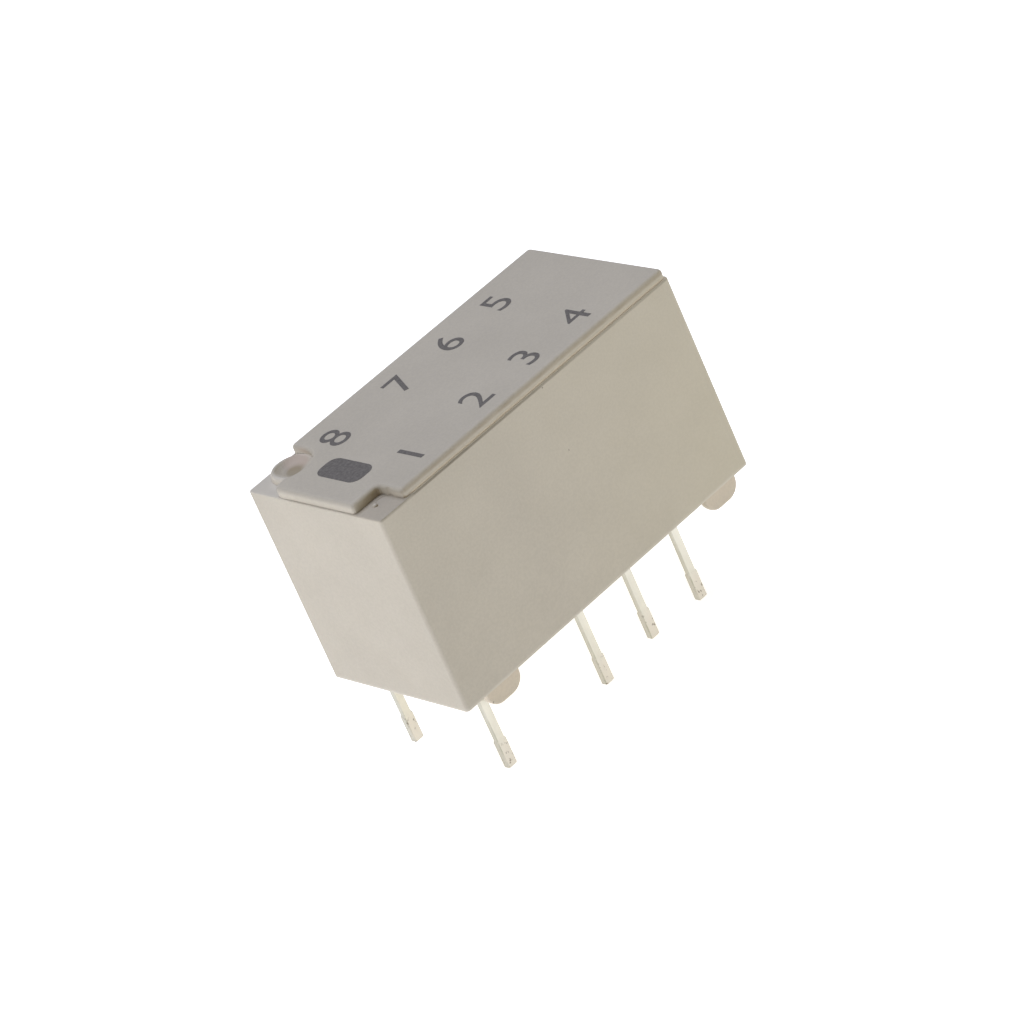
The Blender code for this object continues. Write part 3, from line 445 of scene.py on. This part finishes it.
def moulded(name, colour, roughness, grain, own_tones=None):
    """Moulded plastic: fine eroded grain, faint flow, and its own painted light and shade and flecks, where
    given.
    """
    material, tree, shader = new_material(name, IOR=PLASTIC_IOR)
    toned = mix(tree, patches(tree, 2.6 * MM, 3), shade(colour, 0.965), shade(colour, 1.025))
    speckle = ramp(tree, noise(tree, 0.09 * MM, 3), 0.35, 0.65, 0.97, 1.03)
    toned = mix(tree, 1.0, toned, grey(tree, speckle), "MULTIPLY")
    if own_tones:
        toned = own_tones(tree, toned)
    rough = patches(tree, 0.7 * MM, 3, roughness - 0.05, roughness + 0.05)
    fine = bump(tree, noise(tree, 0.05 * MM, 3), grain)
    wave = bump(tree, noise(tree, 1.5 * MM, 1), 0.006 * MM, fine)
    link(tree, shader, Base_Color=toned, Roughness=rough, Normal=wave)
    return material


def cast_resin():
    """Cast epoxy: glossy, a little cloudy, with a soft skin."""
    material, tree, shader = new_material("resin", IOR=RESIN_IOR, Coat_Weight=0.3)
    toned = mix(tree, patches(tree, 0.9 * MM, 4), shade(RESIN_COLOUR, 0.85), shade(RESIN_COLOUR, 1.08))
    rough = patches(tree, 0.4 * MM, 2, 0.16, 0.3)
    skin = bump(tree, noise(tree, 1.1 * MM, 2), 0.03 * MM)
    link(tree, shader, Base_Color=toned, Roughness=rough, Normal=skin)
    return material


def metal(name, colour, roughness, grain_size, grain, along=(1, 1, 1)):
    """Bare or plated metal with a drawn or rolled grain along one axis."""
    material, tree, shader = new_material(name, Metallic=1.0)
    lines = noise(tree, grain_size, 3, stretched(tree, along))
    toned = mix(tree, patches(tree, 0.5 * MM, 3), shade(colour, 0.93), shade(colour, 1.04))
    rough = ramp(tree, lines, NOISE_LOW, NOISE_HIGH, roughness - 0.07, roughness + 0.08)
    link(tree, shader, Base_Color=toned, Roughness=rough, Normal=bump(tree, lines, grain))
    return material


def height_on_pin(tree, tip):
    """The height above a pin's tip, a little uneven, so that the coat of solder has a wavy edge."""
    height = calculate(tree, "SUBTRACT", axis(tree, "Z"), tip)
    wobble = ramp(tree, noise(tree, 0.3 * MM, 1), 0.2, 0.8, -SOLDER_WOBBLE, SOLDER_WOBBLE)
    return calculate(tree, "ADD", height, wobble)


def tin_colours(tree, height, face):
    """Bright tin with painted shade on the flanks and painted dark lines on the chamfered edges, and specked
    solder on the last stretch.
    """
    streaks = patches(tree, 0.4 * MM, 3, vector=stretched(tree, (1, 1, 0.3)))
    tin = mix(tree, streaks, shade(TIN_COLOUR, 0.95), shade(TIN_COLOUR, 1.03))
    solder = mix(tree, streaks, shade(SOLDER_COLOUR, 0.95), SOLDER_COLOUR)
    dipped = ramp(tree, height, SOLDER_LINE + 0.1 * MM, SOLDER_LINE - 0.3 * MM)
    toned = mix(tree, dipped, tin, solder)
    normal = add(tree, "SeparateXYZ", {0: face}).outputs
    # Painted shade on the faces that look along X
    flank_shade = ramp(tree, absolute(tree, normal["X"]), 0.5, 0.9, 0, 0.8)
    toned = mix(tree, flank_shade, toned, FLANK_SHADE_COLOUR)
    # Painted dark lines on the chamfered edges, patchy and stronger low on the pin
    edge = ramp(tree, absolute(tree, times(tree, normal["X"], normal["Y"])), 0.25, 0.4)
    edge_patches = ramp(tree, noise(tree, 0.3 * MM, 2, stretched(tree, (1, 1, 0.4))), 0.4, 0.62, 0.05, 0.7)
    low = ramp(tree, height, EDGE_SHADE_HIGH, EDGE_SHADE_LOW, 0.35, 1.0)
    toned = mix(tree, times(tree, edge, edge_patches, low), toned, EDGE_SHADE_COLOUR)
    specks = ramp(tree, noise(tree, 0.13 * MM, 2), 0.635, 0.69)
    return mix(tree, times(tree, specks, dipped, SPECK), toned, SPECK_COLOUR)


def soft_step(tree, height, face):
    """A face's normal, turned level at the coat's step, because the real coat runs out gradually."""
    from_step = absolute(tree, calculate(tree, "SUBTRACT", height, SOLDER_LINE))
    kept = ramp(tree, from_step, 0.16 * MM, 0.12 * MM, 1, 0)
    scale = add(tree, "CombineXYZ", {0: 1, 1: 1, 2: kept}).outputs["Vector"]
    return vector_math(tree, "NORMALIZE", "Vector", vector_math(tree, "MULTIPLY", "Vector", face, scale))


def tinned(name, tip):
    """A tinned pin with its tip at that height, drawn lengthwise and dipped in solder."""
    material, tree, shader = new_material(name, Metallic=1.0)
    height = height_on_pin(tree, tip)
    face = add(tree, "NewGeometry").outputs["True Normal"]
    drawn = noise(tree, 0.03 * MM, 2, stretched(tree, (1, 1, 0.1)))
    lines = bump(tree, drawn, 0.0006 * MM, soft_step(tree, height, face))
    skin = bump(tree, noise(tree, 0.2 * MM, 2), 0.006 * MM, lines)
    rough = patches(tree, 0.15 * MM, 3, 0.30, 0.42)
    link(tree, shader, Base_Color=tin_colours(tree, height, face), Roughness=rough, Normal=skin)
    return material


def enamelled_wire():
    """Turns of fine enamelled wire laid side by side round the core."""
    material, tree, shader = new_material("magnet_wire", Metallic=0.7, Coat_Weight=0.6, Coat_Roughness=0.15)
    wander = times(tree, noise(tree, 1.2 * MM, 2), WIRE_PITCH)
    shifted = calculate(tree, "ADD", axis(tree, "X"), wander)
    turns = absolute(tree, calculate(tree, "SINE", times(tree, shifted, math.pi / WIRE_PITCH)))
    # The colour darkens between the turns: painted shade in the grooves between the wires
    toned = mix(tree, turns, shade(WIRE_COLOUR, 0.45), shade(WIRE_COLOUR, 1.1))
    rough = patches(tree, 0.3 * MM, 2, 0.25, 0.4)
    link(tree, shader, Base_Color=toned, Roughness=rough, Normal=bump(tree, turns, WIRE_PITCH / 3))
    return material


def ink():
    """Pad-printed ink: matt grey, a little thin in places."""
    material, tree, shader = new_material("ink", IOR=INK_IOR)
    thin = ramp(tree, noise(tree, 0.11 * MM, 3), 0.35, 0.7)
    toned = mix(tree, thin, INK_COLOUR, shade(INK_COLOUR, 1.45))
    rough = patches(tree, 0.2 * MM, 2, 0.55, 0.7)
    link(tree, shader, Base_Color=toned, Roughness=rough, Normal=bump(tree, thin, 0.002 * MM))
    return material


def floor_finish():
    """Pale paper, a little bright by itself, and clear from underneath so that the feet can be seen."""
    glow = {"Emission_Color": (1, 1, 1, 1), "Emission_Strength": FLOOR_GLOW}
    material, tree, shader = new_material("floor", Roughness=0.9, **glow)
    toned = mix(tree, patches(tree, 40 * MM, 2), shade(FLOOR_COLOUR, 0.99), FLOOR_COLOUR)
    link(tree, shader, Base_Color=toned)
    behind = add(tree, "NewGeometry").outputs["Backfacing"]
    clear = add(tree, "BsdfTransparent").outputs["BSDF"]
    both = add(tree, "MixShader", {0: behind, 1: shader.outputs["BSDF"], 2: clear})
    tree.links.new(both.outputs["Shader"], tree.nodes["Material Output"].inputs["Surface"])
    return material


def finishes():
    """One finish for each material slot of the record, apart from the pins' slot."""
    return {
        "case_plastic": moulded("case_plastic", CASE_COLOUR, 0.55, 0.0022 * MM, case_light_shade_and_flecks),
        "base_plastic": moulded("base_plastic", BASE_COLOUR, 0.5, 0.002 * MM, base_shade_and_flecks),
        "resin": cast_resin(),
        "black_plastic": moulded("black_plastic", BOBBIN_COLOUR, 0.42, 0.002 * MM),
        "magnet_wire": enamelled_wire(),
        "soft_iron": metal("soft_iron", IRON_COLOUR, 0.36, 0.04 * MM, 0.0015 * MM, (0.12, 1, 1)),
        "magnet": metal("magnet", MAGNET_COLOUR, 0.5, 0.05 * MM, 0.003 * MM),
        "spring_copper": metal("spring_copper", SPRING_COLOUR, 0.3, 0.025 * MM, 0.001 * MM, (0.08, 1, 1)),
        "silver_contact": metal("silver_contact", SILVER_COLOUR, 0.22, 0.03 * MM, 0.001 * MM),
        "white_plastic": moulded("white_plastic", BLOCK_COLOUR, 0.5, 0.002 * MM),
    }


def dress_nodes(materials):
    """Gives each CAD node the finish of its slot in the record, and each pin one measured from its tip."""
    for part in frame["record"]["subparts"]:
        node, slot_name = part["node"], part["material_slot"]
        finish = materials.get(slot_name) or tinned(node + "_tin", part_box(node)[0].z)
        for slot in NODES[node].material_slots:
            slot.material = finish


# Shapes


def put(name, data):
    """A new object in the scene."""
    item = bpy.data.objects.new(name, data)
    bpy.context.scene.collection.objects.link(item)
    return item


def put_shape(name, shape):
    """A new object made of a bmesh, which is freed."""
    mesh = bpy.data.meshes.new(name)
    shape.to_mesh(mesh)
    shape.free()
    return put(name, mesh)


def rounded(low, high, radius, steps=8):
    """A rectangle with round corners, anticlockwise."""
    points = []
    for x, y, start in (
        (high[0] - radius, low[1] + radius, -90),
        (high[0] - radius, high[1] - radius, 0),
        (low[0] + radius, high[1] - radius, 90),
        (low[0] + radius, low[1] + radius, 180),
    ):
        for i in range(steps + 1):
            angle = math.radians(start + 90 * i / steps)
            points.append((x + radius * math.cos(angle), y + radius * math.sin(angle)))
    return points


def slab(name, outline, bottom, top):
    """A thin closed solid between two heights."""
    shape = bmesh.new()
    lower = [shape.verts.new((x, y, bottom)) for x, y in outline]
    upper = [shape.verts.new((x, y, top)) for x, y in outline]
    shape.faces.new(lower[::-1])
    shape.faces.new(upper)
    for i in range(len(outline)):
        j = (i + 1) % len(outline)
        shape.faces.new((lower[i], lower[j], upper[j], upper[i]))
    return put_shape(name, shape)


# Print


def number(digit, x, y):
    """A printed digit over its own place on the panel."""
    curve = bpy.data.curves.new("print_" + digit, "FONT")
    curve.body = digit
    curve.align_x = "CENTER"
    curve.size = NUMBER_SIZE
    curve.extrude = (INK_SUNK + INK_PROUD) / 2
    item = put(curve.name, curve)
    item.location = (x, y, PANEL_TOP + (INK_PROUD - INK_SUNK) / 2)
    return item


def make_print(material):
    """The bar that shows which end is which, and a number for each pin."""
    bar = rounded(BAR_LOW, BAR_HIGH, BAR_CORNER)
    pieces = [slab("print_bar", bar, PANEL_TOP - INK_SUNK, PANEL_TOP + INK_PROUD)]
    for digits, y in NUMBER_ROWS:
        for digit, x in zip(digits, NUMBER_COLUMNS):
            pieces.append(number(digit, x, y))
    for piece in pieces:
        piece.data.materials.append(material)
        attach(piece, "housing")


# Stage


def make_floor():
    shape = bmesh.new()
    corners = ((-1, -1), (1, -1), (1, 1), (-1, 1))
    shape.faces.new([shape.verts.new((x * FLOOR_HALF, y * FLOOR_HALF, 0)) for x, y in corners])
    floor = put_shape("floor", shape)
    floor.data.materials.append(floor_finish())


def make_lights():
    """Soft square lamps that face the middle of the part."""
    for name, lamp_place, width, power, colour in LAMPS:
        lamp = bpy.data.lights.new(name, "AREA")
        lamp.shape = "SQUARE"
        lamp.size = width
        lamp.energy = power
        lamp.color = colour
        item = put(name, lamp)
        item.location = lamp_place
        item.rotation_euler = (Vector(LAMP_TARGET) - Vector(lamp_place)).to_track_quat("-Z", "Y").to_euler()


def make_world():
    world = bpy.data.worlds.new("studio")
    world.use_nodes = True
    background = world.node_tree.nodes["Background"]
    background.inputs["Color"].default_value = (1, 1, 1, 1)
    background.inputs["Strength"].default_value = WORLD_STRENGTH
    bpy.context.scene.world = world


def make_camera():
    lens = bpy.data.cameras.new("camera")
    lens.sensor_width = CAMERA_SENSOR
    lens.lens = CAMERA_LENS
    lens.clip_start = 0.01
    lens.clip_end = 10
    camera = put("camera", lens)
    camera.location = CAMERA_PLACE
    camera.rotation_euler = [math.radians(angle) for angle in CAMERA_TURN]
    bpy.context.scene.camera = camera


make_camera()
make_world()
make_lights()
make_floor()
dress_nodes(finishes())
make_print(ink())
bpy.context.scene.view_settings.view_transform = "Standard"
